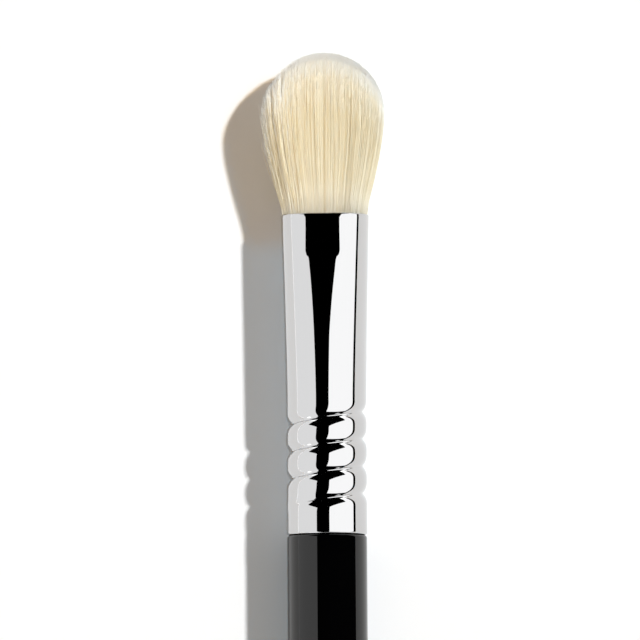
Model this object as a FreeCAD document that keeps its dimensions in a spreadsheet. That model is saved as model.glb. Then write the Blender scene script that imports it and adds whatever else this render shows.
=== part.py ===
"""Eyeshadow brush lying on a table, broad side up: hair tuft, plated ferrule and turned wooden handle.

Millimetres. +Y runs along the brush from the tail of the handle to the tip of the hair, +Z is up and
+X is to the right. The origin is under the middle of the brush, on the table that it lies on.

Every piece is drawn standing up: its local origin is the middle of the ferrule's lower end, local Z is
the axis towards the hair and local -Y is the broad side. lay_down puts it on the table.
"""
import FreeCAD, Part
import math
import os

import Sketcher
from FreeCAD import Vector

SIZES = {
    # Ferrule: a round tube whose upper end is pressed oval
    "ferrule_length": 29.0,
    "ferrule_radius": 3.65,
    "ferrule_wall": 0.3,
    "lip_chamfer": 0.1,
    "foot_chamfer": 0.15,
    # Pressed stretches, from the mouth down, and how each section spreads, is squeezed and curves
    "press_length": 3.4,
    "shoulder_length": 4.6,
    "mouth_spread": 0.34,
    "mouth_squeeze": 0.5,
    "mouth_face_radius": 9.2,
    "crease_spread": 0.26,
    "crease_squeeze": 0.4,
    "crease_face_radius": 10.2,
    "shoulder_spread": 0.16,
    "shoulder_squeeze": 0.2,
    "shoulder_face_radius": 5.4,
    # Spiral groove, rolled into the ferrule and the tenon together
    "groove_start": 3.17,
    "groove_pitch": 2.46,
    "groove_turns": 3.25,
    "groove_runout": 0.25,
    "groove_depth": 0.45,
    "groove_land": 0.3,
    "groove_brow_width": 0.48,
    "groove_brow_depth": 0.13,
    "groove_overcut": 0.08,
    "groove_margin": 1.11,
    # Handle, from the ferrule down to the tail
    "handle_length": 122.0,
    "handle_step": 0.03,
    "handle_chamfer": 0.2,
    "shank_length": 11.0,
    "swell_length": 15.0,
    "belly_length": 14.0,
    "belly_swell": 0.53,
    "tail_radius": 2.1,
    "tenon_gap": 0.08,
    "tenon_chamfer": 0.5,
    # Hair: the head above the mouth, and the root below it
    "tuft_length": 14.7,
    "tuft_dome": 5.5,
    "tuft_flare_width": 1.79,
    "tuft_flare_depth": 1.33,
    "hair_gap": 0.03,
    "root_clearance": 2.6,
    "root_gap": 0.22,
    # Band of thread round the root, and the two glues
    "tie_thickness": 0.25,
    "tie_width": 2.5,
    "tie_height": 0.5,
    "root_glue_floor": 1.0,
    "root_glue_height": 5.5,
    "tenon_glue_skin": 1.4,
    "tenon_glue_cap": 0.4,
}

# Sizes that follow from the ones above
FORMULAS = {
    "bore_radius": "Sizes.ferrule_radius - Sizes.ferrule_wall",
    "tenon_radius": "Derived.bore_radius - Sizes.tenon_gap",
    "shank_radius": "Sizes.ferrule_radius - Sizes.handle_step",
    "belly_radius": "Derived.shank_radius + Sizes.belly_swell",
    "axis_height": "Derived.belly_radius",
    "foot_place": "(Sizes.handle_length - Sizes.ferrule_length - Sizes.tuft_length) / 2",
    "crease_place": "Sizes.ferrule_length - Sizes.press_length",
    "shoulder_place": "Derived.crease_place - Sizes.shoulder_length",
    # The tube stays round to just above the groove, the tenon fills that stretch and the root ends above it
    "groove_end": "Sizes.groove_start + Sizes.groove_pitch * (Sizes.groove_turns + Sizes.groove_runout)",
    "neck_place": "Derived.groove_end + Derived.groove_half_width + Sizes.groove_margin",
    "tenon_length": "Derived.neck_place + Sizes.tenon_chamfer",
    "root_place": "Derived.tenon_length + Sizes.root_clearance",
    "tie_place": "Derived.root_place + Sizes.tie_height",
    "tie_radius": "Derived.root_radius + Sizes.tie_thickness",
    "tuft_middle": "Sizes.ferrule_length + Sizes.tuft_length - Sizes.tuft_dome",
    "root_radius": "Derived.crease_depth - Sizes.ferrule_wall - Sizes.root_gap",
    # How much smaller than the outside of the ferrule each form is
    "skin_inset": "0",
    "bore_inset": "Sizes.ferrule_wall",
    "hair_inset": "Sizes.ferrule_wall + Sizes.hair_gap",
    "tenon_inset": "Sizes.ferrule_wall + Sizes.tenon_gap",
    # Corners of the groove's section: rise above the wall and reach to either side of its middle
    "groove_half_width": "(Sizes.groove_pitch - Sizes.groove_land) / 2",
    "groove_brow_slope": "Sizes.groove_brow_depth / (Derived.groove_half_width - Sizes.groove_brow_width)",
    "groove_open_rise": "Sizes.groove_depth",
    "groove_open_reach": "Derived.groove_half_width + Sizes.groove_overcut",
    "groove_rim_rise": "Sizes.groove_overcut * Derived.groove_brow_slope",
    "groove_rim_reach": "Derived.groove_half_width + Sizes.groove_overcut",
    "groove_brow_rise": "-Sizes.groove_brow_depth",
    "groove_brow_reach": "Sizes.groove_brow_width",
    "groove_root_rise": "-Sizes.groove_depth",
    "groove_root_reach": "0",
    "groove_runout_cone": "atan(Sizes.groove_depth / (Sizes.groove_pitch * Sizes.groove_runout))",
}
GROOVE_IN_METAL = [("open", 1), ("rim", 1), ("brow", 1), ("root", 1), ("brow", -1), ("rim", -1), ("open", -1)]
GROOVE_IN_WOOD = [corner for corner in GROOVE_IN_METAL if corner[0] != "brow"]

# Oval sections: half width, half depth and the radius of the flatter faces
OVALS = {
    section: (
        f"Sizes.ferrule_radius + Sizes.{section}_spread",
        f"Sizes.ferrule_radius - Sizes.{section}_squeeze",
        f"Sizes.{section}_face_radius",
    )
    for section in ("mouth", "crease", "shoulder")
}


def hair_oval(section, width, depth):
    """A section of the hair, nearly an ellipse."""
    OVALS[section] = (width, depth, f"Derived.{section}_width ^ 2 / Derived.{section}_depth")


# The hair fills the mouth, flares towards its widest section and closes in a dome
FLARE_STEPS = 8
DOME_STEPS = 10
TIP_SHARE = 0.15
for section, tube in (("hair_crease", "crease"), ("hair", "mouth")):
    width, depth = (f"Derived.{tube}_{size} - Derived.hair_inset" for size in ("width", "depth"))
    hair_oval(section, width, depth)
HAIR_PLACES = {"hair": "Sizes.ferrule_length"}
for step in range(1, FLARE_STEPS):
    along = step / FLARE_STEPS
    spread = round(1 - (1 - along) ** 1.5, 4)
    hair_oval(
        f"flare_{step}",
        f"Derived.hair_width + Sizes.tuft_flare_width * {spread}",
        f"Derived.hair_depth + Sizes.tuft_flare_depth * {spread}",
    )
    rise = f"(Sizes.tuft_length - Sizes.tuft_dome) * {along}"
    HAIR_PLACES[f"flare_{step}"] = f"Sizes.ferrule_length + {rise}"
for step in range(DOME_STEPS + 1):
    share = round(1 - (1 - TIP_SHARE) * step / DOME_STEPS, 4)
    rise = round(math.sqrt((1 - share ** 2) / (1 - TIP_SHARE ** 2)), 4)
    hair_oval(
        f"dome_{step}",
        f"(Derived.hair_width + Sizes.tuft_flare_width) * {share}",
        f"(Derived.hair_depth + Sizes.tuft_flare_depth) * {share}",
    )
    HAIR_PLACES[f"dome_{step}"] = f"Derived.tuft_middle + Sizes.tuft_dome * {rise}"

for section, sizes in OVALS.items():
    wide, deep, face = (f"{section}_{name}" for name in ("width", "depth", "face"))
    FORMULAS.update(zip((wide, deep, face), sizes))
    FORMULAS[f"{section}_side"] = (
        f"(2 * Derived.{face} * Derived.{deep} - Derived.{wide} ^ 2 - Derived.{deep} ^ 2)"
        f" / (2 * (Derived.{face} - Derived.{wide}))"
    )

doc = FreeCAD.newDocument("eyeshadow_brush")
sheet = doc.addObject("Spreadsheet::Sheet", "Sizes")
for row, (alias, number) in enumerate(SIZES.items(), start=1):
    sheet.set(f"A{row}", alias)
    sheet.set(f"B{row}", str(number))
    sheet.setAlias(f"B{row}", alias)
doc.recompute()

derived = doc.addObject("App::VarSet", "Derived")
for name, formula in FORMULAS.items():
    derived.addProperty("App::PropertyFloat", name, "Derived")
    derived.setExpression(name, formula)
doc.recompute()


def lay_down(piece, height="0"):
    """Turn a standing piece so that its axis runs along +Y, its local origin height above the foot."""
    piece.Placement = FreeCAD.Placement(Vector(), FreeCAD.Rotation(Vector(1, 0, 0), -90))
    piece.setExpression("Placement.Base.y", f"Derived.foot_place + {height}")
    piece.setExpression("Placement.Base.z", "Derived.axis_height")
    return piece


def new_body(name):
    body = doc.addObject("PartDesign::Body", name)
    body.Label = name
    return lay_down(body)


def origin_part(body, role):
    return next(feature for feature in body.Origin.OriginFeatures if feature.Role == role)


def new_sketch(body, name, plane, height="0"):
    """A sketch on one of the body's own origin planes, moved up along the plane's normal."""
    sketch = body.newObject("Sketcher::SketchObject", name)
    sketch.AttachmentSupport = [(origin_part(body, plane), "")]
    sketch.MapMode = "FlatFace"
    sketch.setExpression("AttachmentOffset.Base.z", height)
    return sketch


def measure(sketch, formula, value, kind, *where):
    """Add a dimension that takes its value from the formula."""
    index = sketch.addConstraint(Sketcher.Constraint(kind, *where, value))
    sketch.setExpression(f"Constraints[{index}]", formula)


def relate(sketch, *rows):
    for row in rows:
        sketch.addConstraint(Sketcher.Constraint(*row))


def arc(x, y, radius, start, end):
    """An arc from one angle to another, counterclockwise, in radians."""
    return Part.ArcOfCircle(Part.Circle(Vector(x, y, 0), Vector(0, 0, 1), radius), start, end)


def line(x0, y0, x1, y1):
    return Part.LineSegment(Vector(x0, y0, 0), Vector(x1, y1, 0))


def rings_at(feature, height):
    """The edges of a feature that lie flat at one height."""
    found = []
    for number, edge in enumerate(feature.Shape.Edges, start=1):
        box = edge.BoundBox
        if abs(box.ZMin - height) < 1e-4 and abs(box.ZMax - height) < 1e-4:
            found.append(f"Edge{number}")
    return found


def chamfer_ring(body, name, height, amount):
    """Chamfer the edges of the body's last feature that lie at one height."""
    doc.recompute()
    base = body.Tip
    chamfer = body.newObject("PartDesign::Chamfer", name)
    chamfer.Base = (base, rings_at(base, height))
    chamfer.setExpression("Size", amount)


def round_section(body, name, radius, height):
    sketch = new_sketch(body, name, "XY_Plane", height)
    sketch.addGeometry(Part.Circle(Vector(), Vector(0, 0, 1), derived.bore_radius))
    relate(sketch, ("Coincident", 0, 3, -1, 1))
    measure(sketch, radius, derived.bore_radius, "Radius", 0)
    return sketch


def oval_section(body, section, height, inset="skin_inset"):
    """An oval of four tangent arcs: two flatter faces, front and back, and two round sides."""
    width, depth, face, side = (
        getattr(derived, f"{section}_{name}") - getattr(derived, inset)
        for name in ("width", "depth", "face", "side")
    )
    turn = math.atan2(width - side, face - depth)
    quarter = math.pi / 2

    sketch = new_sketch(body, f"{section}_section", "XY_Plane", height)
    sketch.addGeometry(arc(0, face - depth, face, -quarter - turn, -quarter + turn))
    sketch.addGeometry(arc(width - side, 0, side, turn - quarter, quarter - turn))
    sketch.addGeometry(arc(0, depth - face, face, quarter - turn, quarter + turn))
    sketch.addGeometry(arc(side - width, 0, side, quarter + turn, 3 * quarter - turn))
    relate(
        sketch,
        ("Tangent", 0, 2, 1, 1),
        ("Coincident", 1, 2, 2, 1),
        ("Coincident", 2, 2, 3, 1),
        ("Coincident", 3, 2, 0, 1),
        ("Symmetric", 0, 1, 0, 2, -2),
        ("Symmetric", 2, 1, 2, 2, -2),
        ("Symmetric", 1, 1, 1, 2, -1),
        ("Equal", 0, 2),
        ("Equal", 1, 3),
    )
    measure(sketch, f"Derived.{section}_face - Derived.{inset}", face, "Radius", 0)
    measure(sketch, f"Derived.{section}_side - Derived.{inset}", side, "Radius", 1)
    rise = f"Derived.{section}_face - Derived.{section}_depth"
    measure(sketch, rise, face - depth, "DistanceY", -1, 1, 0, 3)
    return sketch


def add_cylinder(body, name, radius, length, height="0"):
    cylinder = body.newObject("PartDesign::AdditiveCylinder", name)
    cylinder.AttachmentSupport = [(origin_part(body, "XY_Plane"), "")]
    cylinder.MapMode = "FlatFace"
    cylinder.setExpression("AttachmentOffset.Base.z", height)
    cylinder.setExpression("Radius", radius)
    cylinder.setExpression("Height", length)


def add_loft(body, name, sections):
    """Skin the sections in straight bands."""
    loft = body.newObject("PartDesign::AdditiveLoft", name)
    loft.Profile = sections[0]
    loft.Sections = sections[1:]
    loft.Ruled = True


def groove_section(body, name, corners, inset, turned="0", raised="0"):
    """Section of the rolled groove: in metal its flanks fall gently to a brow, then meet in a V.

    In the wood behind they are straight. They run a little past the wall, so that the cut is clean.
    """
    wall = sheet.ferrule_radius - getattr(derived, inset)
    points = [
        (-wall - getattr(derived, f"groove_{corner}_rise"),
         sheet.groove_start + side * getattr(derived, f"groove_{corner}_reach"))
        for corner, side in corners
    ]
    sketch = new_sketch(body, name, "YZ_Plane")
    sketch.AttachmentOffset = FreeCAD.Placement(Vector(), FreeCAD.Rotation(Vector(0, 1, 0), 0))
    sketch.setExpression("AttachmentOffset.Base.y", raised)
    sketch.setExpression("AttachmentOffset.Rotation.Angle", turned)
    for point, following in zip(points, points[1:] + points[:1]):
        sketch.addGeometry(line(*point, *following))
    for number, (corner, side) in enumerate(corners):
        out = f"Sizes.ferrule_radius - Derived.{inset} + Derived.groove_{corner}_rise"
        place = f"Sizes.groove_start + {side} * Derived.groove_{corner}_reach"
        relate(sketch, ("Coincident", number, 2, (number + 1) % len(points), 1))
        measure(sketch, out, -points[number][0], "DistanceX", number, 1, -1, 1)
        measure(sketch, place, points[number][1], "DistanceY", -1, 1, number, 1)
    return sketch


def cut_helix(body, name, section, turns, cone="0", downward=False):
    """Cut a section round the body's axis, winding it outwards where it has a cone."""
    helix = body.newObject("PartDesign::SubtractiveHelix", name)
    helix.Profile = section
    helix.ReferenceAxis = (origin_part(body, "Z_Axis"), [""])
    helix.Mode = "pitch-turns-angle"
    helix.Reversed = downward
    helix.setExpression("Pitch", "Sizes.groove_pitch")
    helix.setExpression("Turns", turns)
    helix.setExpression("Angle", cone)


def roll_groove(body, corners, inset):
    """Roll the spiral groove, with its two run-outs, into a body."""
    foot = groove_section(body, "groove_foot", corners, inset)
    head = groove_section(
        body, "groove_head", corners, inset,
        turned="Sizes.groove_turns * 360",
        raised="Sizes.groove_turns * Sizes.groove_pitch",
    )
    runout = ("Sizes.groove_runout", "Derived.groove_runout_cone")
    cut_helix(body, "groove", foot, "Sizes.groove_turns")
    cut_helix(body, "groove_foot_runout", foot, *runout, downward=True)
    cut_helix(body, "groove_head_runout", head, *runout)


def tube_form(name, inset):
    """The outside of the ferrule, or with an inset its bore: round, then pressed oval at the mouth."""
    body = new_body(name)
    radius = f"Sizes.ferrule_radius - Derived.{inset}"
    add_cylinder(body, "tube", radius, "Derived.neck_place")
    neck = round_section(body, "neck_section", radius, "Derived.neck_place")
    shoulder = oval_section(body, "shoulder", "Derived.shoulder_place", inset)
    crease = oval_section(body, "crease", "Derived.crease_place", inset)
    mouth = oval_section(body, "mouth", "Sizes.ferrule_length", inset)
    add_loft(body, "shoulder_loft", [neck, shoulder, crease])
    add_loft(body, "press_loft", [crease, mouth])
    return body


def make_ferrule(bore):
    """Plated tube: pressed mouth with a rounded lip, rounded foot and the rolled groove through its wall."""
    blank = tube_form("ferrule_blank", "skin_inset")
    chamfer_ring(blank, "lip", sheet.ferrule_length, "Sizes.lip_chamfer")
    chamfer_ring(blank, "foot", 0, "Sizes.foot_chamfer")
    roll_groove(blank, GROOVE_IN_METAL, "skin_inset")
    ferrule = doc.addObject("Part::Cut", "ferrule")
    ferrule.Base = blank
    ferrule.Tool = bore
    return ferrule


def make_handle():
    """Turned handle: straight shank, swell, round belly, long taper and a tenon that fits the bore."""
    shank, belly, tail = derived.shank_radius, derived.belly_radius, sheet.tail_radius
    swell_top = -sheet.shank_length
    belly_top = swell_top - sheet.swell_length
    belly_end = belly_top - sheet.belly_length
    rise = belly - shank
    swell = (sheet.swell_length ** 2 + rise ** 2) / (4 * rise)
    swell_turn = math.asin(sheet.swell_length / (2 * swell))
    tail_middle = tail - sheet.handle_length
    reach = belly_end - tail_middle
    taper = (belly ** 2 + reach ** 2 - tail ** 2) / (2 * (belly - tail))
    taper_turn = math.atan2(reach, taper - belly)

    body = new_body("handle")
    outline = new_sketch(body, "outline", "XZ_Plane")
    outline.addGeometry(line(0, 0, shank, 0))
    outline.addGeometry(line(shank, 0, shank, swell_top))
    outline.addGeometry(arc(shank + swell, swell_top, swell, math.pi, math.pi + swell_turn))
    outline.addGeometry(arc(belly - swell, belly_top, swell, 0, swell_turn))
    outline.addGeometry(line(belly, belly_top, belly, belly_end))
    outline.addGeometry(arc(belly - taper, belly_end, taper, -taper_turn, 0))
    outline.addGeometry(arc(0, tail_middle, tail, -math.pi / 2, -taper_turn))
    outline.addGeometry(line(0, -sheet.handle_length, 0, 0))
    relate(
        outline,
        ("Coincident", 0, 1, -1, 1),
        ("Horizontal", 0),
        ("Coincident", 0, 2, 1, 1),
        ("Vertical", 1),
        ("Tangent", 1, 2, 2, 1),
        ("Tangent", 2, 2, 3, 2),
        ("Tangent", 3, 1, 4, 1),
        ("Vertical", 4),
        ("Equal", 2, 3),
        ("Tangent", 4, 2, 5, 2),
        ("Tangent", 5, 1, 6, 2),
        ("PointOnObject", 6, 3, -2),
        ("Coincident", 6, 1, 7, 1),
        ("Coincident", 7, 2, 0, 1),
        ("Vertical", 7),
    )
    measure(outline, "Derived.shank_radius", shank, "DistanceX", 0, 1, 0, 2)
    measure(outline, "Sizes.shank_length", sheet.shank_length, "DistanceY", 1, 2, 1, 1)
    measure(outline, "Sizes.swell_length", sheet.swell_length, "DistanceY", 4, 1, 1, 2)
    measure(outline, "Derived.belly_radius", belly, "DistanceX", -1, 1, 4, 1)
    measure(outline, "Sizes.belly_length", sheet.belly_length, "DistanceY", 4, 2, 4, 1)
    measure(outline, "Sizes.tail_radius", tail, "Radius", 6)
    measure(outline, "Sizes.handle_length", sheet.handle_length, "DistanceY", 7, 1, 7, 2)

    turned = body.newObject("PartDesign::Revolution", "turned")
    turned.Profile = outline
    turned.ReferenceAxis = (origin_part(body, "Z_Axis"), [""])
    chamfer_ring(body, "shoulder", 0, "Sizes.handle_chamfer")
    add_cylinder(body, "tenon", "Derived.tenon_radius", "Derived.tenon_length")
    chamfer_ring(body, "tenon_tip", derived.tenon_length, "Sizes.tenon_chamfer")
    roll_groove(body, GROOVE_IN_WOOD, "tenon_inset")
    return body


def disc(name, radius, height, length):
    """A round bar on the axis, from a height above the foot."""
    bar = doc.addObject("Part::Cylinder", name)
    bar.setExpression("Radius", radius)
    bar.setExpression("Height", length)
    return lay_down(bar, height)


def make_hair():
    """Bundle of hair: a tied round root, a neck that fills the mouth, and a flared head with a domed tip."""
    body = new_body("hair_tuft")
    root_length = "Derived.crease_place - Derived.root_place"
    add_cylinder(body, "root", "Derived.root_radius", root_length, "Derived.root_place")
    crease = oval_section(body, "hair_crease", "Derived.crease_place")
    sections = [oval_section(body, section, place) for section, place in HAIR_PLACES.items()]
    add_loft(body, "neck", [crease, sections[0]])
    add_loft(body, "head", sections)
    return body


def make_root_tie():
    """Band of thread that holds the root together."""
    tie = doc.addObject("Part::Cut", "root_tie")
    tie.Base = disc("tie_outside", "Derived.tie_radius", "Derived.tie_place", "Sizes.tie_width")
    tie.Tool = disc("tie_inside", "Derived.root_radius", "Derived.tie_place", "Sizes.tie_width")
    return tie


def glue_slug(name, bore, bottom, length):
    """Glue that fills a stretch of the bore."""
    slug = doc.addObject("Part::Common", f"{name}_slug")
    slug.Base = bore
    slug.Tool = disc(f"{name}_slab", "2 * Sizes.ferrule_radius", bottom, length)
    return slug


def make_root_glue(bore, hair):
    """Glue under and round the root, with room for the thread."""
    bottom = "Derived.root_place - Sizes.root_glue_floor"
    taken = doc.addObject("Part::MultiFuse", "root_room")
    taken.Shapes = [hair, disc("tie_room", "Derived.tie_radius", "Derived.tie_place", "Sizes.tie_width")]
    glue = doc.addObject("Part::Cut", "root_glue")
    glue.Base = glue_slug("root_glue", bore, bottom, "Sizes.root_glue_floor + Sizes.root_glue_height")
    glue.Tool = taken
    return glue


def make_tenon_glue(bore, handle):
    """Film of glue round the tip of the tenon, above the groove, and the cap that it pushes up ahead."""
    bottom = "Derived.tenon_length - Sizes.tenon_glue_skin"
    glue = doc.addObject("Part::Cut", "tenon_glue")
    glue.Base = glue_slug("tenon_glue", bore, bottom, "Sizes.tenon_glue_skin + Sizes.tenon_glue_cap")
    glue.Tool = handle
    return glue


bore = tube_form("bore", "bore_inset")
roll_groove(bore, GROOVE_IN_METAL, "bore_inset")
handle = make_handle()
hair_tuft = make_hair()
pieces = [
    handle,
    make_ferrule(bore),
    hair_tuft,
    make_root_tie(),
    make_root_glue(bore, hair_tuft),
    make_tenon_glue(bore, handle),
]
doc.recompute()

for thing in doc.Objects:
    if "Invalid" in thing.State or "Error" in thing.State:
        raise RuntimeError(f"{thing.Label} did not build: {thing.State}")
for piece in pieces:
    if piece.Shape.isNull() or not piece.Shape.isValid():
        raise RuntimeError(f"{piece.Label} has no valid shape")

os.makedirs("parts", exist_ok=True)
for piece in pieces:
    piece.Shape.exportStep(f"parts/{piece.Label}.step")
    box = piece.Shape.optimalBoundingBox(False, False)
    print(f"{piece.Label}: {len(piece.Shape.Solids)} solid, {piece.Shape.Volume:.2f} mm3,"
          f" Y {box.YMin:.2f} to {box.YMax:.2f}, Z {box.ZMin:.2f} to {box.ZMax:.2f}")
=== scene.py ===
"""Looks of the eyeshadow brush: hair, plated ferrule, lacquered handle, and the white table it lies on.

Metres in the frame of the solids: +Y runs along the brush from the tail to the tip of the hair, +Z is up.
Sizes are written in millimetres and multiplied by MM.
"""

import math

import bmesh
import bpy
import numpy as np
from mathutils import Matrix, Vector


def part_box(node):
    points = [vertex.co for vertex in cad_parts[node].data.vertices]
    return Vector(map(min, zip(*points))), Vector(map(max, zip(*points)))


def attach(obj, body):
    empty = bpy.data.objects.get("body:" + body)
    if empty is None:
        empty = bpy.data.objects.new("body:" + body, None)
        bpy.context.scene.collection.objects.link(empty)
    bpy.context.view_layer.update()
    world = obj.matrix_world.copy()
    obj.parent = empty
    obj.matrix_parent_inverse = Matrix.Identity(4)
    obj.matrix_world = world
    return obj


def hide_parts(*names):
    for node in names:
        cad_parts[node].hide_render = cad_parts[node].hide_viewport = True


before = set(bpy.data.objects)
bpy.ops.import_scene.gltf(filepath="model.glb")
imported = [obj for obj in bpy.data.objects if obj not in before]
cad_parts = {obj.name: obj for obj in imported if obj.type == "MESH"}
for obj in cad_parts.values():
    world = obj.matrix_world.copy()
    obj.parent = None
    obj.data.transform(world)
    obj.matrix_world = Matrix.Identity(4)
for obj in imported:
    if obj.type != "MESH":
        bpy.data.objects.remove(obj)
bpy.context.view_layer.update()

MM = 0.001
TURN = 2 * math.pi


# Measures of the brush, from its solids

ferrule_low, ferrule_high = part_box("ferrule")
hair_low, hair_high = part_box("hair_tuft")
handle_low, handle_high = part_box("handle")

FOOT = ferrule_low.y
MOUTH = ferrule_high.y
TAIL = handle_low.y
AXIS_HEIGHT = (ferrule_low.z + ferrule_high.z) / 2
FERRULE_RADIUS = (ferrule_high.z - ferrule_low.z) / 2
FERRULE_LENGTH = MOUTH - FOOT
TUFT_LENGTH = hair_high.y - MOUTH
TUFT_WIDTH = hair_high.x
TUFT_DEPTH = (hair_high.z - hair_low.z) / 2
BELLY_RADIUS = (handle_high.z - handle_low.z) / 2

# The oval of the mouth and the tuft is turned a little towards the left
OVAL_TURN = math.radians(-4)


# Shader nodes

class Wire:
    """A value in a shader. Arithmetic on it adds Math nodes."""

    def __init__(self, nodes, socket):
        self.nodes = nodes
        self.socket = socket

    def math(self, operation, first, second):
        return self.nodes.add("Math", {"operation": operation}, {0: first, 1: second})

    def __add__(self, other):
        return self.math("ADD", self, other)

    def __radd__(self, other):
        return self.math("ADD", other, self)

    def __rsub__(self, other):
        return self.math("SUBTRACT", other, self)

    def __mul__(self, other):
        return self.math("MULTIPLY", self, other)

    def __gt__(self, other):
        return self.math("GREATER_THAN", self, other)


class Nodes:
    """The node tree of one material, or of the world."""

    def __init__(self, owner):
        owner.use_nodes = True
        self.tree = owner.node_tree
        self.tree.nodes.clear()

    def add(self, kind, settings=None, inputs=None, output=0):
        """Add a node of a kind, set its settings, then its sockets, and give one of its outputs."""
        node = self.tree.nodes.new(f"ShaderNode{kind}")
        for name, value in (settings or {}).items():
            if name == "stops":
                set_stops(node.color_ramp, value)
            else:
                setattr(node, name, value)
        for name, value in (inputs or {}).items():
            if isinstance(value, Wire):
                self.tree.links.new(value.socket, node.inputs[name])
            else:
                node.inputs[name].default_value = value
        return Wire(self, node.outputs[output]) if len(node.outputs) else None

    def mix(self, factor, first, second):
        """A colour between two colours."""
        return self.add("Mix", {"data_type": "RGBA"}, {"Factor": factor, 6: first, 7: second}, 2)

    def ramp(self, factor, *stops):
        return self.add("ValToRGB", {"stops": stops}, {"Fac": factor})

    def axes(self, vector):
        """The three numbers of a vector."""
        return [self.add("SeparateXYZ", None, {"Vector": vector}, output) for output in range(3)]

    def noise(self, vector, detail=2.0, roughness=0.5):
        inputs = {"Vector": vector, "Scale": 1.0, "Detail": detail, "Roughness": roughness}
        return self.add("TexNoise", None, inputs)

    def stretched(self, scale):
        """Object coordinates, scaled along each axis."""
        place = self.add("TexCoord", output="Object")
        return self.add("Mapping", None, {"Vector": place, "Scale": scale})

    def principled(self, inputs):
        return self.add("BsdfPrincipled", None, inputs)

    def surface(self, shader):
        self.add("OutputMaterial", None, {"Surface": shader})


def set_stops(ramp, stops):
    """Give a colour ramp its stops, each a place and a colour."""
    while len(ramp.elements) > 1:
        ramp.elements.remove(ramp.elements[-1])
    for number, (place, colour) in enumerate(stops):
        stop = ramp.elements[0] if number == 0 else ramp.elements.new(place)
        stop.position = place
        stop.color = (*colour, 1.0)


def new_material(name):
    material = bpy.data.materials.new(name)
    return material, Nodes(material)


# Finishes

# Share of the light that a hair lets through into its shadow
HAIR_CLEARNESS = 0.86


def hair_finish():
    """Ivory hair: each hair has its own tone and lets light through. It is painted paler near the mouth,
    as painted light over the shade among the crowded roots, and paler towards its tip, partly the hair's
    own paler tips and partly painted light for the glow through them.
    """
    material, nodes = new_material("ivory_hair")
    tone, along, _ = nodes.axes(nodes.add("UVMap", {"uv_map": "OFBake"}))
    strand = nodes.ramp(
        tone,
        (0.0, (0.63, 0.50, 0.30)),
        (0.35, (0.76, 0.67, 0.46)),
        (0.7, (0.82, 0.75, 0.56)),
        (1.0, (0.89, 0.86, 0.72)),
    )
    # Paleness along each hair: the rise at the root is painted light over the shade at the mouth; the
    # rise at the tip is partly the hair's own paler tips and partly painted light for their glow
    stops = {0.0: 0.45, 0.1: 0.35, 0.3: 0.1, 0.65: 0.08, 0.85: 0.35, 1.0: 0.95}
    paleness_and_painted_light = nodes.ramp(along, *((place, (share, share, share)) for place, share in stops.items()))
    hair = nodes.principled({
        "Base Color": nodes.mix(paleness_and_painted_light, strand, (0.90, 0.92, 0.92, 1.0)),
        "Roughness": 0.5,
        "Specular IOR Level": 0.3,
    })
    clear = nodes.add("BsdfTransparent", None, {"Color": (1.0, 0.92, 0.77, 1.0)})
    shadow = nodes.add("LightPath", output="Is Shadow Ray")
    nodes.surface(nodes.add("MixShader", None, {0: shadow * HAIR_CLEARNESS, 1: hair, 2: clear}))
    return material


def heart_finish():
    """The dense middle of the tuft, seen only between the hairs that lie on it."""
    material, nodes = new_material("hair_in_the_heart")
    streaks = nodes.noise(nodes.stretched((9000.0, 250.0, 9000.0)), 3.0)
    colour = nodes.ramp(streaks, (0.3, (0.78, 0.67, 0.46)), (0.7, (0.88, 0.78, 0.57)))
    bump = nodes.add("Bump", None, {"Height": streaks, "Distance": 0.05 * MM, "Strength": 0.5})
    nodes.surface(nodes.principled({"Base Color": colour, "Roughness": 0.7, "Normal": bump}))
    return material


def plated_finish():
    """Polished nickel plate with the faintest smears of handling."""
    material, nodes = new_material("polished_plate")
    smears = nodes.noise(nodes.stretched((300.0, 90.0, 300.0)), 4.0, 0.6)
    nodes.surface(nodes.principled({
        "Base Color": (0.60, 0.60, 0.605, 1.0),
        "Metallic": 1.0,
        "Roughness": 0.01 + smears * 0.03,
    }))
    return material


def lacquer_finish():
    """Deep black lacquer over wood, flowed out to a gloss."""
    material, nodes = new_material("black_lacquer")
    flow = nodes.noise(nodes.stretched((220.0, 60.0, 220.0)))
    nodes.surface(nodes.principled({
        "Base Color": (0.0006, 0.0006, 0.0007, 1.0),
        "Roughness": 0.02 + flow * 0.04,
    }))
    return material


def thread_finish():
    """Matt thread, wound round and round."""
    material, nodes = new_material("wound_thread")
    turns = nodes.add("TexWave", {"bands_direction": "Y"}, {
        "Vector": nodes.stretched((1000.0, 1000.0, 1000.0)), "Scale": 1.2, "Distortion": 0.4,
    })
    # The colour is darker where the bump sinks between the turns: painted shade in the hollows
    nodes.surface(nodes.principled({
        "Base Color": nodes.ramp(turns, (0.0, (0.55, 0.52, 0.45)), (1.0, (0.88, 0.86, 0.80))),
        "Roughness": 0.8,
        "Normal": nodes.add("Bump", None, {"Height": turns, "Distance": 0.05 * MM}),
    }))
    return material


def glue_finish():
    """Cured resin, a little cloudy."""
    material, nodes = new_material("cured_resin")
    clouds = nodes.noise(nodes.stretched((400.0, 400.0, 400.0)), 3.0)
    nodes.surface(nodes.principled({
        "Base Color": nodes.ramp(clouds, (0.3, (0.62, 0.45, 0.22)), (0.7, (0.78, 0.63, 0.36))),
        "Roughness": 0.25,
    }))
    return material


# Meshes

# Points closer together than this become one
WELD = 0.001 * MM


def add_object(name, data):
    """Put an object into the scene."""
    thing = bpy.data.objects.new(name, data)
    bpy.context.scene.collection.objects.link(thing)
    return thing


def mesh_from(form, name):
    """Make a mesh of a form, and free the form."""
    mesh = bpy.data.meshes.new(name)
    form.to_mesh(mesh)
    form.free()
    return mesh


def finish_piece(name, mesh, material, node):
    """Make a mesh a piece that rides on the brush and stands for one of its nodes."""
    piece = add_object(name, mesh)
    mesh.materials.append(material)
    mesh.shade_smooth()
    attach(piece, "root")
    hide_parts(node)
    return piece


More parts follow.
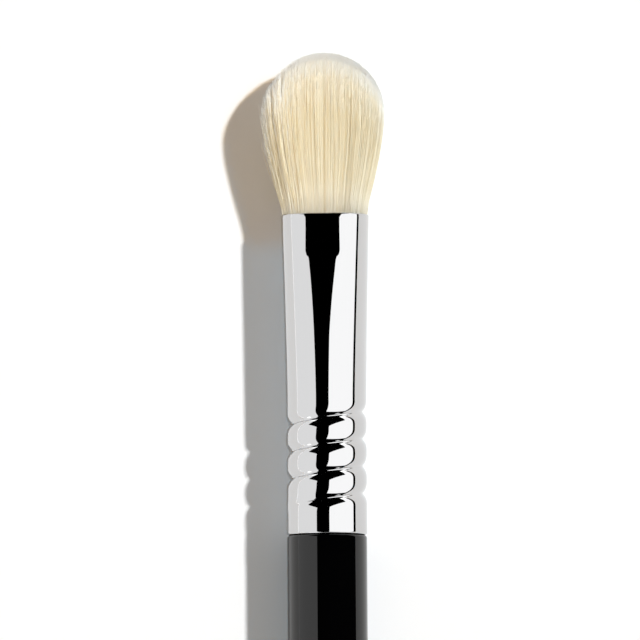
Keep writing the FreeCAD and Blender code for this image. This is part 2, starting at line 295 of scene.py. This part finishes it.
def spun(name, profile, steps):
    """Spin a profile of (radius, height above the ferrule's foot) points round the Y axis."""
    form = bmesh.new()
    points = [form.verts.new((0.0, FOOT + height, radius)) for radius, height in profile]
    edges = [form.edges.new(pair) for pair in zip(points, points[1:])]
    bmesh.ops.spin(
        form,
        geom=points + edges,
        cent=(0, 0, 0),
        axis=(0, 1, 0),
        angle=TURN,
        steps=steps,
        use_merge=True,
    )
    bmesh.ops.remove_doubles(form, verts=form.verts, dist=WELD)
    bmesh.ops.recalc_face_normals(form, faces=form.faces)
    return mesh_from(form, name)


def arc_points(centre, radius, start, end, count):
    """Points of an arc of a profile, angles in degrees from straight out, up the brush."""
    for step in range(count + 1):
        angle = math.radians(start + (end - start) * step / count)
        yield centre[0] + radius * math.cos(angle), centre[1] + radius * math.sin(angle)


def places_of(mesh):
    places = np.empty(len(mesh.vertices) * 3)
    mesh.vertices.foreach_get("co", places)
    return places.reshape(-1, 3)


def lay_on_table(mesh, across, along, up):
    """Move a mesh's points to places given from the brush's axis."""
    places = np.stack([across, along, AXIS_HEIGHT + up], axis=-1)
    mesh.vertices.foreach_set("co", places.reshape(-1))


def eased(value, start, end):
    """0 before start, 1 after end, and an S between them."""
    share = np.clip((value - start) / (end - start), 0, 1)
    return share * share * (3 - 2 * share)


# Ferrule

FERRULE_STEPS = 192
FERRULE_WALL = 0.3 * MM
LIP_RADIUS = 0.12 * MM
FOOT_RADIUS = 0.2 * MM
INSIDE_SHOWN = 3 * MM
RING_SPACING = 0.3 * MM
GROOVE_RING_SPACING = 0.05 * MM

# Where the arcs of the lip and the foot start, in degrees
LIP_START = 15
FOOT_START = -100

# How the mouth is pressed: wider, shallower and with flatter broad faces, less and less down the tube.
# A last trace of it keeps the arcs of the oval apart where the tube is round.
PRESSED_LENGTH = 17 * MM
PRESSED_FADE = 1.3
PRESSED_LEAST = 0.03
MOUTH_SPREAD = 0.34 * MM
MOUTH_SQUEEZE = 0.5 * MM
MOUTH_FACE = 12 * MM

# Heights of the two flats above the axis at depths below the mouth, in mm: mouth, crease and run-out.
# Further down they lie clear of the tube. Towards its narrow sides their cosine stops at FLAT_LEAST.
FLAT_DEPTHS = [0.0, 3.4, 4.05]
FLAT_HEIGHTS = [3.075, 3.11, 3.32]
FLAT_EDGE = 0.02 * MM
FLAT_LEAST = 0.3
FLAT_CLEAR = 1 * MM

GROOVE_START = 3.17 * MM
GROOVE_PITCH = 2.46 * MM
GROOVE_TURNS = 3.25
GROOVE_FADE = 0.22
GROOVE_DEPTH = 0.42 * MM
GROOVE_ROUNDING = 0.05 * MM
GROOVE_SHARPNESS = 3


def pressed_section(below):
    """Half width, half depth and radius of the broad faces at depths below the mouth."""
    pressed = np.clip(1 - below / PRESSED_LENGTH, PRESSED_LEAST, 1) ** PRESSED_FADE
    bend = (1 - pressed) / FERRULE_RADIUS + pressed / MOUTH_FACE
    return FERRULE_RADIUS + MOUTH_SPREAD * pressed, FERRULE_RADIUS - MOUTH_SQUEEZE * pressed, 1 / bend


def oval_radius(angle, width, depth, face):
    """Distance from the middle to an oval of four tangent arcs, the angle taken from the broad face."""
    side = (2 * face * depth - width ** 2 - depth ** 2) / (2 * (face - width))
    across, up = np.abs(np.sin(angle)), np.abs(np.cos(angle))
    seam = np.arctan2(width - side, face - depth)
    on_face = across * (face * np.cos(seam) - face + depth) < up * face * np.sin(seam)
    face_away, side_away = face - depth, width - side
    to_face = -face_away * up + np.sqrt(np.maximum(0, face ** 2 - (face_away * across) ** 2))
    to_side = side_away * across + np.sqrt(np.maximum(0, side ** 2 - (side_away * up) ** 2))
    return np.where(on_face, to_face, to_side)


def flattened(oval, angle, below):
    """Press two flats on an oval near the mouth, their edges a little rounded."""
    lean = np.maximum(np.abs(np.cos(angle)), FLAT_LEAST)
    flat = np.interp(below / MM, FLAT_DEPTHS, FLAT_HEIGHTS) * MM / lean
    flat += np.where(below > FLAT_DEPTHS[-1] * MM, FLAT_CLEAR, 0)
    return (oval + flat - np.hypot(oval - flat, FLAT_EDGE)) / 2


def groove_drop(angle, height):
    """How far the rolled groove sinks the wall at angles from straight up and heights above the foot."""
    turns = (height - GROOVE_START) / GROOVE_PITCH - angle / TURN
    drop = np.zeros_like(turns)
    for neighbour in (-1, 0, 1):
        turn = np.round(turns) + neighbour
        wound = turn + angle / TURN
        begun = eased(wound, -GROOVE_FADE, 0)
        ended = eased(wound, GROOVE_TURNS, GROOVE_TURNS + GROOVE_FADE)
        away = GROOVE_PITCH / 2 - np.hypot((turns - turn) * GROOVE_PITCH, GROOVE_ROUNDING)
        sunk = GROOVE_DEPTH * (np.maximum(0, away) / (GROOVE_PITCH / 2)) ** GROOVE_SHARPNESS
        drop = np.maximum(drop, sunk * begun * (1 - ended))
    return drop


def ferrule_heights():
    """Heights of the rings up the ferrule, closer together where the groove winds, one at the crease."""
    groove_low = GROOVE_START - GROOVE_PITCH
    groove_high = GROOVE_START + (GROOVE_TURNS + 1) * GROOVE_PITCH
    crease = FERRULE_LENGTH - FLAT_DEPTHS[1] * MM
    stretches = [
        (FOOT_RADIUS, groove_low, RING_SPACING),
        (groove_low, groove_high, GROOVE_RING_SPACING),
        (groove_high, crease, RING_SPACING),
        (crease, FERRULE_LENGTH - LIP_RADIUS, RING_SPACING),
    ]
    for low, high, spacing in stretches:
        count = math.ceil((high - low) / spacing)
        for step in range(1, count + 1):
            yield low + (high - low) * step / count


def make_ferrule(material):
    """Tube with a rolled-in foot, a rounded lip, a pressed mouth and the spiral groove."""
    radius = FERRULE_RADIUS
    mesh = spun("ferrule_shell", [
        *arc_points((radius - FOOT_RADIUS, FOOT_RADIUS), FOOT_RADIUS, FOOT_START, 0, 8),
        *((radius, height) for height in ferrule_heights()),
        *arc_points((radius - LIP_RADIUS, FERRULE_LENGTH - LIP_RADIUS), LIP_RADIUS, LIP_START, 90, 5),
        (radius - FERRULE_WALL, FERRULE_LENGTH - LIP_RADIUS / 2),
        (radius - FERRULE_WALL, FERRULE_LENGTH - INSIDE_SHOWN),
    ], FERRULE_STEPS)
    across, along, up = places_of(mesh).T
    angle = np.arctan2(across, up)
    height = along - FOOT
    below = FERRULE_LENGTH - height
    oval = oval_radius(angle - OVAL_TURN, *pressed_section(below))
    oval = flattened(oval, angle - OVAL_TURN, below)
    out = oval - groove_drop(angle, height) - (radius - np.hypot(across, up))
    lay_on_table(mesh, out * np.sin(angle), along, out * np.cos(angle))
    return finish_piece("ferrule_shell", mesh, material, "ferrule")


# Handle

HANDLE_STEPS = 128
SHANK_RADIUS = FERRULE_RADIUS - 0.03 * MM
SHOULDER_RADIUS = 0.3 * MM
SHANK_LENGTH = 11 * MM
SWELL_LENGTH = 15 * MM
BELLY_LENGTH = 14 * MM
TAIL_RADIUS = 2.1 * MM

# The hidden tenon is drawn slim, clear of the groove
TENON_RADIUS = 2.7 * MM
TENON_LENGTH = 14.0 * MM


def make_handle(material):
    """Turned handle: shoulder under the ferrule, shank, swell, belly and a long taper to a round tail."""
    length = FOOT - TAIL
    rise = BELLY_RADIUS - SHANK_RADIUS
    swell = (SWELL_LENGTH ** 2 + rise ** 2) / (4 * rise)
    swell_turn = math.degrees(math.asin(SWELL_LENGTH / (2 * swell)))
    belly_top = -SHANK_LENGTH - SWELL_LENGTH
    belly_end = belly_top - BELLY_LENGTH
    tail_middle = TAIL_RADIUS - length
    reach = belly_end - tail_middle
    taper = (BELLY_RADIUS ** 2 + reach ** 2 - TAIL_RADIUS ** 2) / (2 * (BELLY_RADIUS - TAIL_RADIUS))
    taper_turn = math.degrees(math.atan2(reach, taper - BELLY_RADIUS))
    mesh = spun("lacquered_handle", [
        (0.0, TENON_LENGTH),
        (TENON_RADIUS, TENON_LENGTH),
        (TENON_RADIUS, 0.0),
        *arc_points((SHANK_RADIUS - SHOULDER_RADIUS, -SHOULDER_RADIUS), SHOULDER_RADIUS, 90, 0, 8),
        *arc_points((SHANK_RADIUS + swell, -SHANK_LENGTH), swell, 180, 180 + swell_turn, 12),
        *arc_points((BELLY_RADIUS - swell, belly_top), swell, swell_turn, 0, 12),
        *arc_points((BELLY_RADIUS - taper, belly_end), taper, 0, -taper_turn, 40),
        *arc_points((0.0, tail_middle), TAIL_RADIUS, -taper_turn, -90, 16),
    ], HANDLE_STEPS)
    lay_on_table(mesh, *places_of(mesh).T)
    return finish_piece("lacquered_handle", mesh, material, "handle")


# Hair

HAIR_SIDES = 3
HAIR_RINGS = 7
HAIR_RADIUS = 0.028 * MM
RADIUS_RANGE = (0.8, 1.2)
HAIR_SUNK = 1.2 * MM
HAIR_CROWDING = 1.5
CLUMPS = 220

# The tuft flares from its mouth up to its dome. Most hairs end a little below the dome.
TUFT_DOME = 5.5 * MM
TUFT_RISE = TUFT_LENGTH - TUFT_DOME
TUFT_FLARE = 1.5
MOUTH_WIDTH = 3.66 * MM
MOUTH_DEPTH = 2.82 * MM
DOME_GAP = 0.1 * MM
DOME_WIDEST = 0.99
DOME_LEAST = 0.02

# The dense middle, as a share of the tuft
HEART_SHARE = 0.9
HEART_STEPS = 128
HEART_RINGS = 24
HEART_DOME_START = 6
HEART_DOME_RINGS = 20

# Traits of the hair, first where it is neat, then where it is loose on the left.
# It turns from one to the other over LEFT_RANGE, in shares of the half width.
# Ends: how unevenly hairs end, and how much of that the longest stand proud.
# Run: how far hairs gather in clumps, bow, splay outwards and taper.
# Tone: its middle, how it spreads from hair to hair, and from clump to clump. On the left the paler
# middle is painted light on the side turned from the key, and the wider spread from hair to hair is
# partly random tone and partly painted highlights of single hairs.
LEFT_RANGE = (0.15, 0.75)
RAGGED = (0.6 * MM, 1.7 * MM)
PROUD = (0.35, 0.0)
GATHER = (0.02, 0.47)
BOW = (0.015 * MM, 0.075 * MM)
SPLAY = (0.0, 0.07)
TAPER = (0.78, 0.53)
TONE_AND_PAINTED_LIGHT = (0.42, 0.66)
TONE_SPREAD_AND_PAINTED_HIGHLIGHTS = (0.02, 0.15)
CLUMP_TONE = (0.0, 0.09)
TONE_LIMITS = (0.01, 0.99)

# Clumps close up towards the tips. A bowed hair waves along its length and swings out at its tip.
GATHER_RUN = 1.5
SWAY_RUN = 5
SWAY_SIZE = 0.6


def tuft_section(height):
    """Half width and half depth of the tuft's outer hairs at heights above the mouth."""
    grown = 1 - (1 - np.clip(height / TUFT_RISE, 0, 1)) ** TUFT_FLARE
    width = MOUTH_WIDTH + (TUFT_WIDTH - MOUTH_WIDTH) * grown
    depth = MOUTH_DEPTH + (TUFT_DEPTH - MOUTH_DEPTH) * grown
    return width, depth


def turned(across, up):
    """Turn places with the oval of the mouth."""
    cos, sin = math.cos(OVAL_TURN), math.sin(OVAL_TURN)
    return across * cos + up * sin, up * cos - across * sin


def hair_template():
    """One straight hair of unit size along Z, with a map."""
    form = bmesh.new()
    bmesh.ops.create_cone(form, cap_ends=True, segments=HAIR_SIDES, radius1=1, radius2=1, depth=1)
    uprights = [edge for edge in form.edges if abs(edge.verts[0].co.z - edge.verts[1].co.z) > 0.5]
    bmesh.ops.subdivide_edges(form, edges=uprights, cuts=HAIR_RINGS - 1)
    bmesh.ops.translate(form, verts=form.verts, vec=(0, 0, 0.5))
    mesh = mesh_from(form, "hair")
    mesh.uv_layers.new(name="OFBake")
    return mesh


def copies_of(mesh, count):
    """One mesh with many copies of a mesh, one after the other."""
    single = add_object("single", mesh)
    array = single.modifiers.new("copies", "ARRAY")
    array.count = count
    array.use_relative_offset = False
    graph = bpy.context.evaluated_depsgraph_get()
    many = bpy.data.meshes.new_from_object(single.evaluated_get(graph))
    bpy.data.objects.remove(single)
    return many


def clump_of(across, up, chance):
    """For each hair, the hair that it gathers round."""
    leaders = chance.choice(len(across), CLUMPS, replace=False)
    gaps = (across[:, None] - across[leaders]) ** 2 + (up[:, None] - up[leaders]) ** 2
    return leaders[gaps.argmin(axis=1)]


def trait(values, left):
    """A trait of each hair, between its values for neat hair and for the loose hair on the left."""
    neat, loose = values
    return neat + (loose - neat) * left


def map_hairs(mesh, tone, along):
    """Map each hair's tone, and its run from root to tip, for the finish."""
    tone = np.repeat(np.clip(tone, *TONE_LIMITS), along.shape[1])
    corners = np.empty(len(mesh.loops), dtype=np.int32)
    mesh.loops.foreach_get("vertex_index", corners)
    spots = np.stack([tone[corners], along.reshape(-1)[corners]], axis=-1)
    mesh.uv_layers["OFBake"].uv.foreach_set("vector", spots.reshape(-1))


def make_hair(name, count, layers, seed, material, loose=1.0):
    """Hairs from the mouth to the domed tip, in layers from an inner to an outer share of the tuft.

    Over the dome the hairs close in from the two broad faces, so that they follow it to its rim.
    On the left the hair is looser: it gathers in clumps and ends more raggedly.
    """
    chance = np.random.default_rng(seed)
    mesh = copies_of(hair_template(), count)
    places = places_of(mesh).reshape(count, -1, 3)
    along = 1 - np.clip(1 - places[:, :, 2], 0, 1) ** HAIR_CROWDING

    share = np.sqrt(chance.uniform(layers[0] ** 2, layers[1] ** 2, count))
    angle = chance.uniform(0, TURN, count)
    across, up = share * np.cos(angle), share * np.sin(angle)
    left = eased(-across, *LEFT_RANGE)
    leader = clump_of(across, up, chance)

    length = TUFT_RISE + TUFT_DOME * np.sqrt(1 - np.minimum(np.abs(across), DOME_WIDEST) ** 2) - DOME_GAP
    uneven = np.abs(chance.normal(0, 1, count) + left * chance.normal(0, 1, count)[leader])
    length -= (uneven - trait(PROUD, left)) * trait(RAGGED, left) * loose
    height = along * (length + HAIR_SUNK)[:, None] - HAIR_SUNK
    width, depth = tuft_section(height)
    gather = trait(GATHER, left)[:, None] * along ** GATHER_RUN
    bow = chance.normal(0, 1, (2, count, 1)) * trait(BOW, left)[:, None] * loose
    sway = np.sin(along * SWAY_RUN + chance.uniform(0, TURN, (count, 1))) * SWAY_SIZE + along ** 2

    splay = 1 + (trait(SPLAY, left) * chance.uniform(0, 1, count)[leader])[:, None] * along ** 2
    across_share = splay * (across[:, None] + gather * (across[leader] - across)[:, None])
    up_share = up[:, None] + gather * (up[leader] - up)[:, None]
    dome = np.clip((height - TUFT_RISE) / TUFT_DOME, 0, 1)
    closing = np.sqrt(np.clip(1 - dome ** 2 / np.maximum(1 - across_share ** 2, DOME_LEAST), 0, 1))
    middle_across = width * across_share + bow[0] * sway
    middle_up = depth * closing * up_share + bow[1] * sway
    middle_across, middle_up = turned(middle_across, middle_up)
    middle_up = np.maximum(middle_up, 2 * HAIR_RADIUS - AXIS_HEIGHT)

    taper = 1 - trait(TAPER, left)[:, None] * along ** 3
    radius = HAIR_RADIUS * chance.uniform(*RADIUS_RANGE, (count, 1)) * taper
    skin_across = middle_across + radius * places[:, :, 0]
    skin_up = middle_up - radius * places[:, :, 1]
    lay_on_table(mesh, skin_across, MOUTH + height, skin_up)

    # Each hair's tone; on the left it holds painted light and painted highlights as well as random tone
    tone = trait(TONE_AND_PAINTED_LIGHT, left) + trait(TONE_SPREAD_AND_PAINTED_HIGHLIGHTS, left) * chance.normal(0, 1, count)
    tone += trait(CLUMP_TONE, left) * chance.normal(0, 1, count)[leader]
    map_hairs(mesh, tone, along)
    return finish_piece(name, mesh, material, "hair_tuft")


def make_heart(material):
    """The dense middle of the tuft, under the hairs."""
    flare = np.linspace(-HAIR_SUNK, TUFT_RISE, HEART_RINGS)
    widths, _ = tuft_section(flare)
    profile = [(HEART_SHARE * width, FERRULE_LENGTH + height) for width, height in zip(widths, flare)]
    for angle in np.radians(np.linspace(HEART_DOME_START, 90, HEART_DOME_RINGS)):
        rise = HEART_SHARE * TUFT_DOME * math.sin(angle)
        profile.append((HEART_SHARE * TUFT_WIDTH * math.cos(angle), FERRULE_LENGTH + TUFT_RISE + rise))
    mesh = spun("hair_heart", profile, HEART_STEPS)
    across, along, up = places_of(mesh).T
    width, depth = tuft_section(along - MOUTH)
    across, up = turned(across, up * depth / width)
    lay_on_table(mesh, across, along, up)
    return finish_piece("hair_heart", mesh, material, "hair_tuft")


# Table, light and camera

WHITE = (1.0, 1.0, 1.0, 1.0)
BLACK = (0.0, 0.0, 0.0, 1.0)

# The table's white, and how much it is lifted where it is seen or mirrored
TABLE_SIZE = 4.0
TABLE_WHITE = (0.9, 0.9, 0.9, 1.0)
TABLE_LIFT = 0.08

PANEL_DISTANCE = 0.35

# Black card: its height above the axis, and its corners across and along as multiples of that height
FLAG_HEIGHT = 0.1
FLAG_CORNERS = [(-0.19, 0.0), (1.6, 1.3), (2.2, 8.0), (-2.5, 8.0), (-1.9, 1.4)]

# Where the distant lamps shine from
KEY_FROM = (32, 18, 45)
SKY_FROM = (32, 8, 45)
CARD_FROM = (-58, 3, 26)

# The cool sky makes up for the warm fill everywhere but in the shadow of the tuft
FILL_COLOUR = (0.29, 0.22, 0.155, 1.0)
SKY_COLOUR = (0.0, 0.55, 1.0)

# The room's pale ends: from what square of the run along the brush, and up to what height
ENDS_START = 0.7
ENDS_TOP = 0.22

FRAME_PIXELS = 640
FOCAL_PIXELS = 13000
PIXEL = 0.09045 * MM
SENSOR_WIDTH = 36.0
CAMERA_REACH = 100.0
CAMERA_LEAN = 4.0
CAMERA_ROLL = -0.4
CAMERA_AIM = (-0.50 * MM, FOOT + 19.5 * MM)


def make_table():
    """White table that takes the brush's shadow."""
    form = bmesh.new()
    bmesh.ops.create_grid(form, x_segments=1, y_segments=1, size=TABLE_SIZE)
    mesh = mesh_from(form, "table")
    table = add_object("table", mesh)
    material, nodes = new_material("white_table")
    mesh.materials.append(material)
    camera = nodes.add("LightPath", output="Is Camera Ray")
    glossy = nodes.add("LightPath", output="Is Glossy Ray")
    white = nodes.add("BsdfDiffuse", None, {"Color": TABLE_WHITE})
    lift = nodes.add("Emission", None, {"Color": WHITE, "Strength": (camera + glossy) * TABLE_LIFT})
    nodes.surface(nodes.add("AddShader", None, {0: white, 1: lift}))


def add_panel(name, from_turn, to_turn, tail_turn, tip_turn, radiance):
    """Soft panel for gloss to mirror. Its edges are angles in degrees, seen from the ferrule."""
    distance = PANEL_DISTANCE
    tail_end = -distance * math.tan(math.radians(tail_turn))
    tip_end = distance * math.tan(math.radians(tip_turn))
    lamp = bpy.data.lights.new(name, "AREA")
    lamp.shape = "RECTANGLE"
    lamp.size = 2 * distance * math.tan(math.radians(to_turn - from_turn) / 2)
    lamp.size_y = tip_end - tail_end
    lamp.energy = radiance * math.pi * lamp.size * lamp.size_y
    panel = add_object(name, lamp)
    angle = math.radians(from_turn + to_turn) / 2
    along = (FOOT + MOUTH + tip_end + tail_end) / 2
    panel.location = (distance * math.sin(angle), along, AXIS_HEIGHT + distance * math.cos(angle))
    panel.rotation_euler = (0, angle, 0)
    panel.visible_camera = False
    panel.visible_diffuse = False
    return panel


def add_flag():
    """Black card above the tip of the brush, which the flanks of the groove mirror as dark points."""
    form = bmesh.new()
    middle = FOOT + GROOVE_START + GROOVE_TURNS / 2 * GROOVE_PITCH
    corners = [
        form.verts.new((across * FLAG_HEIGHT, middle + along * FLAG_HEIGHT, AXIS_HEIGHT + FLAG_HEIGHT))
        for across, along in FLAG_CORNERS
    ]
    bmesh.ops.contextual_create(form, geom=corners)
    mesh = mesh_from(form, "flag")
    flag = add_object("flag", mesh)
    flag.visible_camera = False
    flag.visible_diffuse = False
    flag.visible_shadow = False
    material, nodes = new_material("black_card")
    mesh.materials.append(material)
    nodes.surface(nodes.add("BsdfDiffuse", None, {"Color": BLACK}))


def linked(pieces, state):
    """A collection that links a lamp to some pieces, or keeps it off them."""
    chosen = bpy.data.collections.new("linked")
    for number, piece in enumerate(pieces):
        chosen.objects.link(piece)
        chosen.collection_objects[number].light_linking.link_state = state
    return chosen


def add_sun(name, source, strength, spread, colour=(1.0, 1.0, 1.0)):
    """Distant lamp that no gloss mirrors."""
    lamp = bpy.data.lights.new(name, "SUN")
    lamp.energy = strength
    lamp.color = colour
    lamp.angle = math.radians(spread)
    sun = add_object(name, lamp)
    sun.rotation_euler = Vector(source).to_track_quat("Z", "Y").to_euler()
    sun.visible_glossy = False
    return sun


def add_room():
    """White behind everything, a warm fill, and for gloss to mirror a dark room with two pale ends."""
    world = bpy.data.worlds.new("room")
    bpy.context.scene.world = world
    nodes = Nodes(world)
    _, along, up = nodes.axes(nodes.add("TexCoord", output="Generated"))
    camera = nodes.add("LightPath", output="Is Camera Ray")
    glossy = nodes.add("LightPath", output="Is Glossy Ray")
    ends = (along * along > ENDS_START) * (ENDS_TOP - up > 0)
    mirrored = nodes.mix(ends, BLACK, WHITE)
    colour = nodes.mix(camera, nodes.mix(glossy, FILL_COLOUR, mirrored), WHITE)
    light = nodes.add("Background", None, {"Color": colour})
    nodes.add("OutputWorld", None, {"Surface": light})


def add_camera():
    """Long lens above the ferrule, leaning a little towards the tail."""
    lens = bpy.data.cameras.new("camera")
    lens.sensor_width = SENSOR_WIDTH
    lens.lens = FOCAL_PIXELS / FRAME_PIXELS * SENSOR_WIDTH
    lens.clip_end = CAMERA_REACH
    camera = add_object("camera", lens)
    lean = math.radians(CAMERA_LEAN)
    back = Vector((0, -math.sin(lean), math.cos(lean)))
    target = Vector((*CAMERA_AIM, AXIS_HEIGHT))
    look = (-back).to_track_quat("-Z", "Y").to_matrix().to_4x4()
    roll = Matrix.Rotation(math.radians(CAMERA_ROLL), 4, "Z")
    camera.matrix_world = Matrix.Translation(target + back * FOCAL_PIXELS * PIXEL) @ look @ roll
    bpy.context.scene.camera = camera


# The brush

LAYER_HAIRS = 4300
LOOSE_HAIRS = 400

hair = hair_finish()
make_ferrule(plated_finish())
handle = make_handle(lacquer_finish())
tuft = [
    make_heart(heart_finish()),
    make_hair("hair_inner", LAYER_HAIRS, layers=(0.0, 0.85), seed=11, material=hair),
    make_hair("hair_outer", LAYER_HAIRS, layers=(0.72, 1.0), seed=12, material=hair),
    make_hair("hair_skin", LAYER_HAIRS, layers=(0.82, 1.0), seed=13, material=hair),
    make_hair("hair_cover", LAYER_HAIRS, layers=(0.9, 1.0), seed=15, material=hair),
    make_hair("hair_loose", LOOSE_HAIRS, layers=(0.8, 1.02), seed=14, material=hair, loose=2.0),
]
inside = {"root_tie": thread_finish(), "root_glue": glue_finish(), "tenon_glue": glue_finish()}
for node, finish in inside.items():
    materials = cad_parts[node].data.materials
    materials.clear()
    materials.append(finish)


# The picture

make_table()
add_flag()
softbox = add_panel("softbox", from_turn=7, to_turn=81.5, tail_turn=50, tip_turn=78, radiance=1.55)
softbox.light_linking.receiver_collection = linked([handle], "EXCLUDE")
add_panel("left_panel", from_turn=-90.5, to_turn=-29, tail_turn=75, tip_turn=78, radiance=1.15)
add_sun("key", KEY_FROM, strength=3.15, spread=3.0)
hair_card = add_sun("hair_card", CARD_FROM, strength=1.75, spread=60.0)
hair_card.light_linking.receiver_collection = linked(tuft, "INCLUDE")
sky = add_sun("sky", SKY_FROM, strength=0.39, spread=12.0, colour=SKY_COLOUR)
sky.light_linking.blocker_collection = linked(tuft, "INCLUDE")
add_room()
add_camera()
bpy.context.scene.view_settings.view_transform = "Standard"
